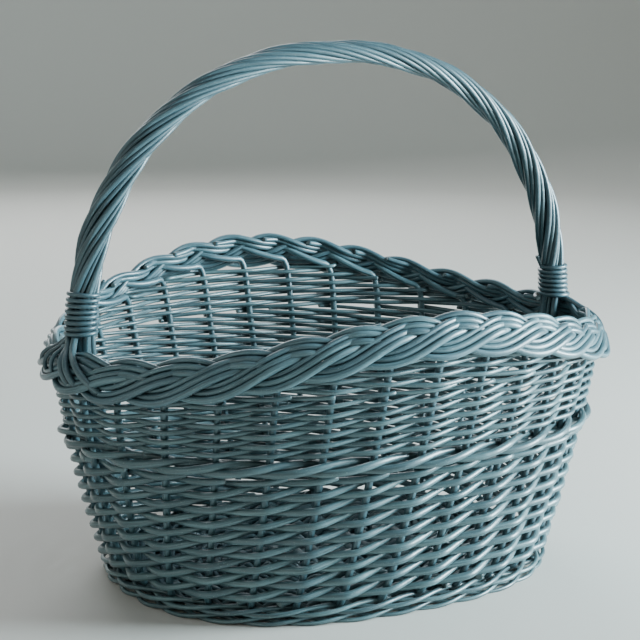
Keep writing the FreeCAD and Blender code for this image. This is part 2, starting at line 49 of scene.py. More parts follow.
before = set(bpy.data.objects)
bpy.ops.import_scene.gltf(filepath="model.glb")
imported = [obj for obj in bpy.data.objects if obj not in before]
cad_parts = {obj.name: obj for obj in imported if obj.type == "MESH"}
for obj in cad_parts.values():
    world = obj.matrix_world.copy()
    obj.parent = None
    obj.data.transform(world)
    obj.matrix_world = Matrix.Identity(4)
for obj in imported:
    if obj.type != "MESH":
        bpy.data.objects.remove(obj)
CAD_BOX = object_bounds()
MM = 0.001


def box_mm(*nodes):
    """The box round some CAD nodes, in millimetres."""
    corners = [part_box(node) for node in nodes]
    low = Vector([min(pair[0][i] for pair in corners) for i in range(3)]) / MM
    high = Vector([max(pair[1][i] for pair in corners) for i in range(3)]) / MM
    return low, high


# ---------------------------------------------------------------- the boxes sizes are taken from
PLAIT_NODES = ("back_stakes", "front_stakes")
plait_low, plait_high = box_mm(*PLAIT_NODES)
foot_low, foot_high = box_mm("upsett_bottom_round")
bow_low, bow_high = box_mm("handle_bow")
wale_low, wale_high = box_mm("front_middle_wale", "back_middle_wale")
left_low, left_high = box_mm("left_handle_binding")
right_low, right_high = box_mm("right_handle_binding")
_, weave_high = box_mm("upper_weavers")

# ---------------------------------------------------------------- the rods and how they are woven
STAKE_COUNT = 30
STAKE_RADIUS = 2.3
STAKE_BEND = 12.0             # spacing of the control points where a stake turns up
STAKE_PRESS = 0.6             # how far a stake is pressed into the base stick beside it
LONG_STICKS = 4               # the rest of the base's sticks lie across them
CROSS_STICK_RADIUS = 3.8
LONG_STICK_RADIUS = 2.2
CROSS_STICK_PITCH = 12.0
LONG_STICK_PITCH = 7.2
ROUND_GAP = 0.4               # stake spacings between the ends of a strand that goes once round
BASE_ROWS = 11
BASE_MARGIN = 0.8             # rows' width left free at the base's edge for the stakes
BASE_BUTT, BASE_TIP = 2.0, 1.5
UPSETT_BUTT, UPSETT_TIP = 1.6, 1.3
UPSETT_SPREAD = 1.5           # how far a strand swings above and below its round
UPSETT_PITCH = 5.8
WORN_DEPTH = 0.35             # how far the standing edge is rubbed flat
KINK = 0.98                   # how sharply a weaver bends at a stake, 0 is a plain wave and 1 a fold
KINK_GAIN = 1.1               # makes up for the curve rounding off the bends
LOWER_ROWS = 18
LOWER_START = 12.0
LOWER_BUTT, LOWER_TIP = 2.45, 2.3
WALE_BUTT, WALE_TIP = 2.7, 2.2
WALE_SPREAD = 2.6
WALE_LAP = 0.1                # stake spacings the front band's ends lie over the back band's
WALE_MEAN, WALE_SWING = 0.3, 1.25     # a strand's way out of the wall, in touching distances
UPPER_ROWS = 14
UPPER_BUTT, UPPER_TIP = 1.65, 1.5
PACKING_BUTT, PACKING_TIP = 1.6, 1.45
PACKING_PITCH = 3.1           # from one packing row to the next
BORDER_DROP = 13.0            # the weave stops this far under the rim line, behind the plait

PLAIT_TIP = 1.75              # a stake's radius at its cut end in the plait
BORDER_PERIOD = 4             # stake spacings from one crest of a strand to the next
BORDER_SPAN = 11.6            # stake spacings a stake runs in the plait before it is cut
BORDER_LEAD = 1.1             # stake spacings it leans along behind the plait before that
BORDER_SLOT = 4.1             # spacing of the rods that lie side by side in a strand
SLOT_CHANGE = 3.2             # how far into each period a rod moves up to the next slot
BORDER_WAVE = 9.0             # half the plait's width, to the middle of a strand
BORDER_SKEW = 0.2             # above 0 a strand comes down steeply and goes up slowly
BORDER_CREST = 0.3            # above 0 it stays longer on the top edge than on the lower one
BORDER_DEPTH = 2.4            # how far strands stand off the plait's middle where they cross
PLAIT_BULGE = 1.4             # the most they stand off, as a share of that
LEAN_START = -2.7             # where a leaning stake starts across the plait
LEAN_BEHIND = 7.9             # and how far behind its middle
BORDER_TILT = math.radians(30.0)
BORDER_OUT = 2.5              # plait centre, outside the stake line
BORDER_DOWN = 10.0            # plait centre, below the rim line

CORE_FOOT_RADIUS, CORE_TOP_RADIUS = 4.4, 3.8
LEG_JOIN = 12.0               # the bow's arch becomes a leg this far under the rim
ROPE_BUNDLES = 3
ROPE_RODS = 4                 # rods in each bundle
ROPE_BUTT, ROPE_TIP = 2.2, 1.35
ROPE_TURNS = 3.4
ROPE_COVER = 0.92             # share of the bow's skin that the bundles cover
ROPE_HEAP = 0.7               # how much the middle rods of a bundle stand over the outer ones
ROPE_BULGE = 1.5              # the roping stands off the bow above a binding
BULGE_RISE, BULGE_FALL, BULGE_END = 0.13, 0.2, 0.32   # shares of the bow it does so over
ROPE_LEG = (150.0, 138.0, 126.0, 114.0)     # heights of a roping end that runs down inside the wall
BINDING_BUTT, BINDING_TIP = 1.65, 1.4
BINDING_PITCH = 3.4
BINDING_GRIP = 5.3            # from the bow's surface to the middle of the binding rod
LOOSE_TURN = 3.5              # how far the lowest turn on the +X leg stands away
STUB_COURSE = ((3.0, 0.8), (6.0, 1.6), (9.0, 3.0))    # up from the last turn and away from the leg
THICK_FAN = 0.95              # stake spacings the thick roping ends slant towards the front
THIN_FAN = -0.4               # and the thin ones towards the back
FAN_SPREAD = 0.45             # how far neighbouring ends spread, as a share of that
# A tail over the plait: shares of its slant, of the plait's half width and of the height over its strands.
TAIL_COURSE = ((0.35, 1.1, 0.5), (0.55, 0.6, 0.85), (0.75, 0.0, 0.9), (0.95, -0.6, 0.5), (1.1, -0.95, -0.2))

# ---------------------------------------------------------------- what makes each rod a little different
KNOT_GAP = (48.0, 95.0)       # least and most from one knot to the next
KNOT_LENGTH = 1.6
KNOT_SWELL = 0.09             # share a rod is thicker at a knot
UNEVEN_SKIN = 0.05            # share its skin goes in and out
UNEVEN_RATE = 0.045           # how fast that changes, for each millimetre
CUT_SIZE = 0.82               # radius of the cut face, as a share of the rod's
CUT_RISE = 0.25               # how far the face stands past the end, as a share of the radius
CUT_SLANT = 0.5               # the most it slants, also as a share
WEAVER_GIRTH = (0.9, 1.1)     # least and most thickness, as a share
STAKE_GIRTH = (0.95, 1.07)
WEAVER_BEGIN = (-0.45, -0.1)  # the place of a weaver's first end
WEAVER_SHORT = (0.4, 1.0)     # stakes its other end stops short
PLAIT_SHORT = (-0.25, 0.15)   # the same for a stake's end in the plait
SWAY = 100.0                  # rods take their drift from anywhere along this
# How far rods stray, how fast that changes from stake to stake, and how much it differs between rods.
WEAVER_DRIFT = (0.55, 0.8, 3.1)
PACKING_DRIFT = (0.7, 0.7, 2.3)
PLAIT_DRIFT = (0.8, 0.6, 1.7)
PLAIT_RIPPLE = 0.4            # how far a rod strays off the plait's face
RIPPLE_LANE = 4.0

STEPS = 6                     # control points along a rod for each stake spacing
BASE_STEPS = 4                # the same in the base
STAKE_STEPS = 0.03            # for each millimetre of a stake
LEG_STEPS = 0.08              # for each millimetre of the bow's legs
ROPE_STEPS = 16               # for each turn of the roping
BINDING_STEPS = 14            # for each turn of a binding
NEAR_TURN = 0.002             # a share of the way round, short enough to measure a direction
NEAR_Z = 2.0                  # a height, short enough to measure a slope
PLAN_SAMPLES = 1440

# ---------------------------------------------------------------- sizes measured from the laid rods, and sizes that follow from them
PLAIT_REACH = 10.4            # from the stake line to the plait's outermost skin
PLAIT_CREST = 3.6             # from the rim line to its topmost skin
UPSETT_REACH = 7.7            # from the base's stake line to the bottom round's skin
WEAVE_TOP = 1.1               # from the line the weave stops at to its topmost skin
BOW_REACH = 3.75              # from the middle line of the bow to its skin at the widest place
BOW_RAISE = 2.0               # the lean of the bow's feet lifts their ends this much
STUB_LENGTH = 7.5             # the end of a binding left standing
RIM_HALF_LENGTH = (plait_high.x - plait_low.x) / 2 - PLAIT_REACH
RIM_HALF_WIDTH = (plait_high.y - plait_low.y) / 2 - PLAIT_REACH
RIM_SQUARENESS = 2.0          # exponent of the rim's oval, 2 is a plain ellipse
BASE_HALF_LENGTH = (foot_high.x - foot_low.x) / 2 - UPSETT_REACH
BASE_HALF_WIDTH = (foot_high.y - foot_low.y) / 2 - UPSETT_REACH
BASE_SHIFT_X = (foot_high.x + foot_low.x) / 2
BASE_SQUARENESS = 2.4
END_HEIGHT = weave_high.z + BORDER_DROP - WEAVE_TOP
BACK_LIFT = 6.0               # the back stands this much over, and the front this much under
SIDE_RISE = plait_high.z - PLAIT_CREST - BACK_LIFT - END_HEIGHT
RISE_POWER = 1.35             # above 1 keeps the rise to the middle of the sides
FLARE_POWER = 1.29            # above 1 makes the wall splay most near the base
WALE_HEIGHT = (wale_low.z + wale_high.z) / 2
HANDLE_HALF_SPAN = (bow_high.x - bow_low.x) / 2 - BOW_REACH
HANDLE_TOP = bow_high.z - CORE_TOP_RADIUS
HANDLE_SQUARENESS = 2.19
CORE_FOOT_Z = bow_low.z - BOW_RAISE
LEFT_BINDING = (left_low.z + BINDING_BUTT, left_high.z - STUB_LENGTH)
RIGHT_BINDING = (right_low.z + BINDING_BUTT, right_high.z - STUB_LENGTH)

BASE_PLANE_Z = CROSS_STICK_RADIUS + 2 * BASE_BUTT
CROSS_STICKS = STAKE_COUNT // 2 - LONG_STICKS
STAKE_BESIDE = CROSS_STICK_RADIUS + STAKE_RADIUS - STAKE_PRESS
WALE_HALF = WALE_SPREAD + WALE_TIP
LOWER_PITCH = (WALE_HEIGHT - WALE_HALF - LOWER_START) / LOWER_ROWS
UPPER_START = WALE_HEIGHT + WALE_HALF
UPPER_PITCH = (END_HEIGHT - BORDER_DROP - UPPER_START) / UPPER_ROWS
PACKING_START = END_HEIGHT - BORDER_DROP
CORE_OFFSET = HANDLE_HALF_SPAN - RIM_HALF_LENGTH
LEG_TOP = END_HEIGHT - LEG_JOIN


# ---------------------------------------------------------------- the basket's shape
def oval(half_length, half_width, squareness):
    """Points of a superellipse with the share of the perimeter at each."""
    points, lengths = [], [0.0]
    for i in range(PLAN_SAMPLES + 1):
        angle = 2 * math.pi * i / PLAN_SAMPLES
        c, s = math.cos(angle), math.sin(angle)
        x = half_length * math.copysign(abs(c) ** (2 / squareness), c)
        y = half_width * math.copysign(abs(s) ** (2 / squareness), s)
        points.append(Vector((x, y, 0)))
        if i:
            lengths.append(lengths[-1] + (points[-1] - points[-2]).length)
    return points, [length / lengths[-1] for length in lengths], lengths[-1]


def on_oval(plan, turn):
    """The point a share of the way round, counter-clockwise from +X."""
    points, shares, _ = plan
    turn = turn % 1.0
    low, high = 0, len(shares) - 1
    while high - low > 1:
        middle = (low + high) // 2
        if shares[middle] > turn:
            high = middle
        else:
            low = middle
    part = (turn - shares[low]) / max(shares[high] - shares[low], 1e-12)
    return points[low].lerp(points[high], part)


BASE_OVAL = oval(BASE_HALF_LENGTH, BASE_HALF_WIDTH, BASE_SQUARENESS)
RIM_OVAL = oval(RIM_HALF_LENGTH, RIM_HALF_WIDTH, RIM_SQUARENESS)
RIM_SPACING = RIM_OVAL[2] / STAKE_COUNT
BASE_SPACING = BASE_OVAL[2] / STAKE_COUNT
# A stake starts beside one base stick and stands nearly one place further round at the rim.
WALL_TWIST = (1 - STAKE_BESIDE / BASE_SPACING) / STAKE_COUNT


def stake_turn(index):
    return (index + 0.5) / STAKE_COUNT


def smooth(value):
    """A soft step from 0 to 1."""
    value = min(max(value, 0.0), 1.0)
    return value * value * (3 - 2 * value)


def kinked(phase):
    """A cosine wave made straight between its crests, as willow is between stakes."""
    return KINK_GAIN * math.asin(KINK * math.cos(phase)) / math.asin(KINK)


def steps(first, last, per_unit=STEPS):
    """Evenly spaced values, both ends included."""
    count = max(3, round((last - first) * per_unit))
    return [first + (last - first) * i / count for i in range(count + 1)]


def taper(count, butt, tip):
    """Radii that go evenly from a rod's thick end to its thin one."""
    return [butt + (tip - butt) * i / (count - 1) for i in range(count)]


def rim_height(turn):
    """The rim is lowest at the two ends and rises to the middle of each long side."""
    side = math.sin(2 * math.pi * turn) ** 2
    return END_HEIGHT + SIDE_RISE * side ** RISE_POWER + BACK_LIFT * math.sin(2 * math.pi * turn)


def base_point(turn):
    return on_oval(BASE_OVAL, turn) + Vector((BASE_SHIFT_X, 0, 0))


def wall_centre(turn, z):
    """A point of the stake surface, at a height."""
    part = z / rim_height(turn)
    splay = 1 - max(1 - part, 0.0) ** FLARE_POWER
    point = base_point(turn - WALL_TWIST).lerp(on_oval(RIM_OVAL, turn), splay)
    return Vector((point.x, point.y, z))


def wall_axes(turn, z):
    """Along the row, up the wall and out of the wall."""
    along = (wall_centre(turn + NEAR_TURN, z) - wall_centre(turn - NEAR_TURN, z)).normalized()
    up = wall_centre(turn, min(z + NEAR_Z, rim_height(turn))) - wall_centre(turn, max(z - NEAR_Z, 0.0))
    outward = along.cross(up).normalized()
    return along, outward.cross(along).normalized(), outward


def wall_point(turn, z, out=0.0, beside=0.0, up=0.0):
    """A point some way off the stake surface."""
    along, rise, outward = wall_axes(turn, z)
    return wall_centre(turn, z) + along * beside + rise * up + outward * out


def drift(kind, place, lane, sway):
    """How far a rod strays, which changes slowly along it."""
    amount, rate, lane_step = kind
    return amount * noise.noise(Vector((place * rate, lane * lane_step, sway)))


# ---------------------------------------------------------------- laying a rod as a mesh
class Weave:
    """Collects rods that become one mesh."""

    def __init__(self, name, seed):
        self.name = name
        self.random = random.Random(seed)
        self.verts = []
        self.faces = []
        self.tone = []        # one random value for each rod
        self.grain = []       # a place in the wood, along the rod and across it
        self.cut = []         # 1 on a cut face and 0 on the skin

    def lay(self, path, radii, sides=10, samples=2):
        """Lay one rod along control points, with knots, a slightly uneven skin and cut ends."""
        rng = self.random
        points, radii = curve_through(path, radii, samples)
        frames = frames_along(points)
        tone = rng.random()
        shift = Vector((rng.uniform(0, 900), rng.uniform(0, 900), rng.uniform(0, 900)))
        knot_gap = rng.uniform(*KNOT_GAP)
        knot_start = rng.uniform(0, knot_gap)
        distance = 0.0
        first = len(self.verts)
        for i, axes in enumerate(frames):
            if i:
                distance += (points[i] - points[i - 1]).length
            to_knot = abs((distance + knot_start) % knot_gap - knot_gap / 2)
            swell = 1 + KNOT_SWELL * math.exp(-((to_knot / KNOT_LENGTH) ** 2))
            for angle, ray in rays(axes, sides):
                place = Vector((distance * UNEVEN_RATE, math.cos(angle), math.sin(angle)))
                uneven = 1 + UNEVEN_SKIN * noise.noise(place + shift)
                point = points[i] + ray * (radii[i] * swell * uneven)
                self.add(point, tone, shift, distance, angle, radii[i], 0.0)
        rings = len(frames)
        for i in range(rings - 1):
            for j in range(sides):
                a = first + i * sides + j
                b = first + i * sides + (j + 1) % sides
                self.faces.append((a, b, b + sides, a + sides))
        for ring, facing in ((0, -1), (rings - 1, 1)):
            edge = first + ring * sides
            self.close_end(edge, sides, points[ring], frames[ring], radii[ring], facing, tone, shift)

    def close_end(self, edge, sides, centre, axes, radius, facing, tone, shift):
        """A slanting cut, a little inside a rounded edge."""
        side, across = axes
        tangent = side.cross(across) * facing
        slant = self.random.uniform(-CUT_SLANT, CUT_SLANT)
        start = len(self.verts)
        for angle, ray in rays(axes, sides):
            lean = tangent * (radius * (CUT_RISE + slant * math.cos(angle)))
            self.add(centre + ray * radius * CUT_SIZE + lean, tone, shift, 0.0, angle, radius, 1.0)
        for j in range(sides):
            k = (j + 1) % sides
            face = (edge + j, edge + k, start + k, start + j)
            self.faces.append(face if facing > 0 else face[::-1])
        cap = tuple(start + j for j in range(sides))
        self.faces.append(cap if facing > 0 else cap[::-1])

    def add(self, point, tone, shift, distance, angle, radius, cut):
        """One mesh point, with what the material needs to know about it."""
        self.verts.append(point * MM)
        self.tone.append(tone)
        self.grain.append(shift + Vector((distance, radius * math.cos(angle), radius * math.sin(angle))))
        self.cut.append(cut)

    def piece(self, node, material):
        """Make the object, and let it stand for its CAD node."""
        mesh = bpy.data.meshes.new(self.name)
        mesh.from_pydata([tuple(v) for v in self.verts], [], self.faces)
        mesh.attributes.new("tone", "FLOAT", "POINT").data.foreach_set("value", self.tone)
        mesh.attributes.new("cut", "FLOAT", "POINT").data.foreach_set("value", self.cut)
        flat = [value for vector in self.grain for value in vector]
        mesh.attributes.new("grain", "FLOAT_VECTOR", "POINT").data.foreach_set("vector", flat)
        is_skin = [len(face) == 4 for face in self.faces]
        mesh.polygons.foreach_set("use_smooth", is_skin)
        mesh.materials.append(material)
        mesh.update()
        piece = bpy.data.objects.new(self.name, mesh)
        bpy.context.scene.collection.objects.link(piece)
        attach(piece, "root")
        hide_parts(node)


def rays(axes, sides):
    """Directions all round a rod, each with its angle."""
    side, across = axes
    for j in range(sides):
        angle = 2 * math.pi * j / sides
        yield angle, side * math.cos(angle) + across * math.sin(angle)


def curve_through(path, radii, samples):
    """A clamped cubic B-spline with its own radius at each point."""
    points = [2 * path[0] - path[1]] + list(path) + [2 * path[-1] - path[-2]]
    widths = [radii[0]] + list(radii) + [radii[-1]]
    out_points, out_radii = [], []
    last = len(path) - 1
    for i in range(last * samples + 1):
        low = min(i // samples, last - 1)
        t = i / samples - low
        weights = (
            (1 - t) ** 3 / 6,
            (3 * t ** 3 - 6 * t ** 2 + 4) / 6,
            (-3 * t ** 3 + 3 * t ** 2 + 3 * t + 1) / 6,
            t ** 3 / 6,
        )
        out_points.append(sum((points[low + k] * weights[k] for k in range(4)), Vector((0, 0, 0))))
        out_radii.append(sum(widths[low + k] * weights[k] for k in range(4)))
    return out_points, out_radii


def frames_along(points):
    """Pairs of directions across a path that don't spin round it."""
    count = len(points)
    tangents = []
    for i in range(count):
        tangents.append((points[min(i + 1, count - 1)] - points[max(i - 1, 0)]).normalized())
    side = tangents[0].cross(Vector((0, 0, 1)))
    if side.length < 0.3:
        side = tangents[0].cross(Vector((0, 1, 0)))
    frames = []
    for tangent in tangents:
        side = (side - tangent * side.dot(tangent)).normalized()
        frames.append((side, tangent.cross(side)))
    return frames


# ---------------------------------------------------------------- base
def block_point(place):
    """The edge of the block of crossed sticks, counted in stick ends from the +X end."""
    half_length = (CROSS_STICKS - 1) / 2 * CROSS_STICK_PITCH + CROSS_STICK_PITCH / 2
    half_width = (LONG_STICKS - 1) / 2 * LONG_STICK_PITCH + CROSS_STICK_PITCH / 2
    place = place % STAKE_COUNT
    back = place < STAKE_COUNT / 2
    index = place if back else STAKE_COUNT - 1 - place
    if index < 1.5:
        point = (half_length, (index + 0.5) * LONG_STICK_PITCH)
    elif index > STAKE_COUNT / 2 - 2.5:
        point = (-half_length, (STAKE_COUNT / 2 - 0.5 - index) * LONG_STICK_PITCH)
    else:
        point = ((STAKE_COUNT / 4 - 0.5 - index) * CROSS_STICK_PITCH, half_width)
    return Vector((point[0] + BASE_SHIFT_X, point[1] if back else -point[1], 0))


def base_disc(place, part):
    """A point of the base, from the stick block (part 0) to its edge (part 1)."""
    low = math.floor(place)
    inner = block_point(low).lerp(block_point(low + 1), smooth(place - low))
    point = inner.lerp(base_point(stake_turn(place)), part)
    return Vector((point.x, point.y, BASE_PLANE_Z))


def stick_path(first_end, second_end):
    """A base stick straight across the block and fanned out to two ends."""
    reach = [0.96, 0.8, 0.6, 0.4, 0.2, 0.0]
    first = [base_disc(first_end, part) for part in reach]
    second = [base_disc(second_end, part) for part in reversed(reach)]
    middle = [first[-1].lerp(second[0], i / 4) for i in (1, 2, 3)]
    return first + middle + second


def lay_base_cross_sticks(weave):
    for end in range(LONG_STICKS // 2, STAKE_COUNT // 2 - LONG_STICKS // 2):
        path = stick_path(end, STAKE_COUNT - 1 - end)
        weave.lay(path, [CROSS_STICK_RADIUS] * len(path), sides=12, samples=4)


def lay_base_long_sticks(weave):
    half = STAKE_COUNT // 2
    for pair in ((0, half - 1), (1, half - 2), (STAKE_COUNT - 1, half), (STAKE_COUNT - 2, half + 1)):
        path = stick_path(*pair)
        weave.lay(path, [LONG_STICK_RADIUS] * len(path), samples=4)


def lay_base_weavers(weave):
    """Two strands twisting round each other between the sticks, spiralling outwards."""
    lift = CROSS_STICK_RADIUS + BASE_BUTT
    for row in range(BASE_ROWS):
        for strand in (0, 1):
            first = row * STAKE_COUNT + strand * STAKE_COUNT / 2
            path = []
            for place in steps(first + ROUND_GAP / 2, first + STAKE_COUNT - ROUND_GAP / 2, BASE_STEPS):
                part = (place / STAKE_COUNT + 0.5) / (BASE_ROWS + BASE_MARGIN)
                away = (base_disc(place, 1.0) - base_disc(place, 0.0)).normalized()
                phase = math.pi * (place + strand)
                point = base_disc(place, part) + away * (BASE_BUTT * math.sin(phase))
                path.append(point + Vector((0, 0, lift * math.cos(phase))))
            weave.lay(path, taper(len(path), BASE_BUTT, BASE_TIP), sides=8)


# ---------------------------------------------------------------- wall
def stake_leg(index):
    """A stake lies beside a base stick, turns up at the base edge and stands to the plait."""
    turn = stake_turn(index)
    edge = base_point(turn - WALL_TWIST) + Vector((0, 0, BASE_PLANE_Z))
    inward = (base_disc(index - 1, 0.0) - base_disc(index - 1, 1.0)).normalized()
    path = [edge + inward * STAKE_BEND * count for count in (4, 3, 2, 1, 0)]
    top = rim_height(turn) - BORDER_DOWN - 2 * STAKE_RADIUS
    return path + [wall_centre(turn, z) for z in steps(BASE_PLANE_Z + STAKE_BEND, top, STAKE_STEPS)]


def lay_randing(weave, rows, start_z, pitch, butt, tip):
    """One rod for every stake, each going behind one stake and before the next."""
    rng = weave.random
    for first in range(STAKE_COUNT):
        girth = rng.uniform(*WEAVER_GIRTH)
        sway = rng.uniform(0, SWAY)
        begin = rng.uniform(*WEAVER_BEGIN)
        end = rows - rng.uniform(*WEAVER_SHORT)
        path, radii = [], []
        for step in steps(begin, end):
            radius = girth * (butt + (tip - butt) * step / rows)
            out = -(STAKE_RADIUS + radius) * kinked(math.pi * step)
            lift = drift(WEAVER_DRIFT, step, first, sway)
            z = start_z + pitch * (step + 0.5)
            path.append(wall_point(stake_turn(first + step), z, out, 0.0, lift))
            radii.append(radius)
        weave.lay(path, radii)


def wale_path(first, last, strand, z, radius, spread):
    """A strand that goes before two stakes and behind one, rising over its neighbours."""
    path = []
    for place in steps(first, last):
        phase = 2 * math.pi * (place - strand) / 3
        out = (STAKE_RADIUS + radius) * (WALE_MEAN - WALE_SWING * math.cos(phase))
        path.append(wall_point(stake_turn(place), z, out, 0.0, -spread * math.sin(phase)))
    return path


def lay_upsett(weave, level):
    """One round of three-rod wale where the wall leaves the base."""
    z = UPSETT_BUTT - WORN_DEPTH + UPSETT_SPREAD + level * UPSETT_PITCH
    for strand in range(3):
        first = strand + 10 * level
        path = wale_path(first, first + STAKE_COUNT - ROUND_GAP, strand, z, UPSETT_BUTT, UPSETT_SPREAD)
        weave.lay(path, taper(len(path), UPSETT_BUTT, UPSETT_TIP))


def lay_middle_wale(weave, start):
    """Half of a heavier three-rod band, laid round one long side."""
    for strand in range(3):
        first = start + strand - 0.5
        last = first + STAKE_COUNT / 2 + WALE_LAP
        path = wale_path(first, last, strand + start, WALE_HEIGHT, WALE_BUTT, WALE_SPREAD)
        weave.lay(path, taper(len(path), WALE_BUTT, WALE_TIP))


def packing_reach(middle, z):
    """How many stakes either side of the middle a row at this height can use."""
    reach = 0
    while rim_height(stake_turn(middle + reach + 1)) - BORDER_DROP > z and reach < STAKE_COUNT // 4:
        reach += 1
    return reach


def packing_row(middle, row, heading, sway):
    """One pass across a raised side, ending in a turn round the outermost stake."""
    z = PACKING_START + PACKING_PITCH * (row + 0.5)
    reach = packing_reach(middle, z)
    path = []
    for place in steps(-reach, reach):
        out = (STAKE_RADIUS + PACKING_BUTT) * kinked(math.pi * (place * heading + row))
        lift = drift(PACKING_DRIFT, place, row, sway)
        path.append(wall_point(stake_turn(middle + place * heading), z, out, 0.0, lift))
    turn = stake_turn(middle + reach * heading)
    path.append(wall_point(turn, z + PACKING_PITCH / 2, 0.0, heading * (STAKE_RADIUS + PACKING_BUTT)))
    return path


def lay_packing(weave, middle):
    """Rows to and fro that fill the raised middle of a long side."""
    rows = 0
    while packing_reach(middle, PACKING_START + PACKING_PITCH * (rows + 0.5)) > 1:
        rows += 1
    for row in range(0, rows, 2):
        sway = weave.random.uniform(0, SWAY)
        path = packing_row(middle, row, 1, sway)
        if row + 1 < rows:
            path += packing_row(middle, row + 1, -1, sway)
        weave.lay(path, taper(len(path), PACKING_BUTT, PACKING_TIP))


# ---------------------------------------------------------------- border
def border_point(place, across, over):
    """A point of the plait: across its width towards the top, and over its face."""
    turn = stake_turn(place)
    rim = on_oval(RIM_OVAL, turn)
    ahead = on_oval(RIM_OVAL, turn + NEAR_TURN) - on_oval(RIM_OVAL, turn - NEAR_TURN)
    outward = Vector((ahead.y, -ahead.x, 0)).normalized()
    up = Vector((0, 0, 1))
    centre = Vector((rim.x, rim.y, rim_height(turn) - BORDER_DOWN)) + outward * BORDER_OUT
    width_axis = up * math.cos(BORDER_TILT) - outward * math.sin(BORDER_TILT)
    face_axis = outward * math.cos(BORDER_TILT) + up * math.sin(BORDER_TILT)
    return centre + width_axis * across + face_axis * over


def stake_lean(index):
    """A stake leans along behind the plait on its way up to the top edge."""
    path = []
    for share in (0.2, 0.4, 0.6, 0.8):
        across = LEAN_START + (BORDER_WAVE - BORDER_SLOT - LEAN_START) * share
        over = -LEAN_BEHIND * math.cos(math.pi / 2 * share ** 2)
        path.append(border_point(index + BORDER_LEAD * share, across, over))
    return path


def plait_path(index, rng):
    """Where a stake runs in the plait: over the top edge, then down and up three times."""
    sway = rng.uniform(0, SWAY)
    end = BORDER_SPAN + rng.uniform(*PLAIT_SHORT)
    path = []
    for place in steps(0.0, end):
        turned = 2 * math.pi * place / BORDER_PERIOD
        phase = turned + BORDER_SKEW * (1 - math.cos(turned)) - BORDER_CREST * math.sin(turned)
        pace = 1 + BORDER_SKEW * math.sin(turned) - BORDER_CREST * math.cos(turned)
        slope = -BORDER_WAVE * math.sin(phase) * pace * 2 * math.pi / BORDER_PERIOD / RIM_SPACING
        length = math.hypot(1.0, slope)
        moves = smooth(place - SLOT_CHANGE) + smooth(place - SLOT_CHANGE - BORDER_PERIOD)
        slot = BORDER_SLOT * (moves - 1)
        across = BORDER_WAVE * math.cos(phase) + slot / length + drift(PLAIT_DRIFT, place, index, sway)
        shift = -slot * slope / length / RIM_SPACING
        over = BORDER_DEPTH * (math.sin(2 * turned) + (math.sin(3 * turned) - math.sin(turned)) / 2)
        over += PLAIT_RIPPLE * noise.noise(Vector((place, sway, RIPPLE_LANE)))
        path.append(border_point(index + BORDER_LEAD + place + shift, across, over))
    return path


def lay_stakes(weave, first, last):
    """Each stake stands in the wall and ends in the plait."""
    for index in range(first, last):
        upright = stake_leg(index) + stake_lean(index)
        plait = plait_path(index, weave.random)
        girth = weave.random.uniform(*STAKE_GIRTH)
        radii = [STAKE_RADIUS * girth] * len(upright)
        radii += taper(len(plait), STAKE_RADIUS * girth, PLAIT_TIP * girth)
        weave.lay(upright + plait, radii, sides=12, samples=3)


# ---------------------------------------------------------------- handle
def bow_point(part):
    """The bow's middle line, from the -X foot (0) to the +X foot (1)."""
    angle = math.pi * part
    c, s = math.cos(angle), math.sin(angle)
    x = -HANDLE_HALF_SPAN * math.copysign(abs(c) ** (2 / HANDLE_SQUARENESS), c)
    z = END_HEIGHT + (HANDLE_TOP - END_HEIGHT) * max(s, 0.0) ** (2 / HANDLE_SQUARENESS)
    return Vector((x, 0, z))


def leg_point(end, z):
    """The bow below the rim, lying against the inside of the wall."""
    return wall_point(0.5 if end < 0 else 0.0, z, CORE_OFFSET)


def even_bow(count):
    """Evenly spaced points of the arch."""
    fine = [bow_point(i / 400) for i in range(401)]
    lengths = [0.0]
    for a, b in zip(fine, fine[1:]):
        lengths.append(lengths[-1] + (b - a).length)
    points, index = [], 0
    for i in range(count + 1):
        wanted = lengths[-1] * i / count
        while index < 399 and lengths[index + 1] < wanted:
            index += 1
        part = (wanted - lengths[index]) / (lengths[index + 1] - lengths[index])
        points.append(fine[index].lerp(fine[index + 1], min(part, 1.0)))
    return points


ARCH_STEPS = 72
ARCH = even_bow(ARCH_STEPS)
ARCH_LENGTH = sum((b - a).length for a, b in zip(ARCH, ARCH[1:]))


def core_radius(part):
    """Thick at the feet and slim at the grip."""
    return CORE_FOOT_RADIUS + (CORE_TOP_RADIUS - CORE_FOOT_RADIUS) * math.sin(math.pi * part)


def lay_bow(weave):
    """One stout rod bent into the arch, its ends pushed down inside the wall."""
    left = [leg_point(-1, z) for z in steps(CORE_FOOT_Z, LEG_TOP, LEG_STEPS)]
    right = [leg_point(1, z) for z in steps(CORE_FOOT_Z, LEG_TOP, LEG_STEPS)]
    arch = ARCH[1:-1:2]
    radii = [core_radius((i + 0.5) / len(arch)) for i in range(len(arch))]
    feet = [CORE_FOOT_RADIUS] * len(left)
    weave.lay(left + arch + right[::-1], feet + radii + feet, sides=14, samples=3)


def round_bow(part, angle, distance):
    """A point round the arch, the angle counted from its outside towards the front."""
    place = min(max(part, 0.0), 1.0) * ARCH_STEPS
    low = min(int(place), ARCH_STEPS - 1)
    centre = ARCH[low].lerp(ARCH[low + 1], place - low)
    ahead = (ARCH[min(low + 2, ARCH_STEPS)] - ARCH[max(low - 1, 0)]).normalized()
    front = Vector((0, -1, 0))
    outside = ahead.cross(front)
    return centre - outside * (distance * math.cos(angle)) + front * (distance * math.sin(angle))


def binding_parts(end):
    """The shares of the arch at which a leg's binding begins and ends."""
    low, high = LEFT_BINDING if end < 0 else RIGHT_BINDING
    bottom = (low - END_HEIGHT) / ARCH_LENGTH
    top = (high - END_HEIGHT) / ARCH_LENGTH
    return (bottom, top) if end < 0 else (1 - bottom, 1 - top)


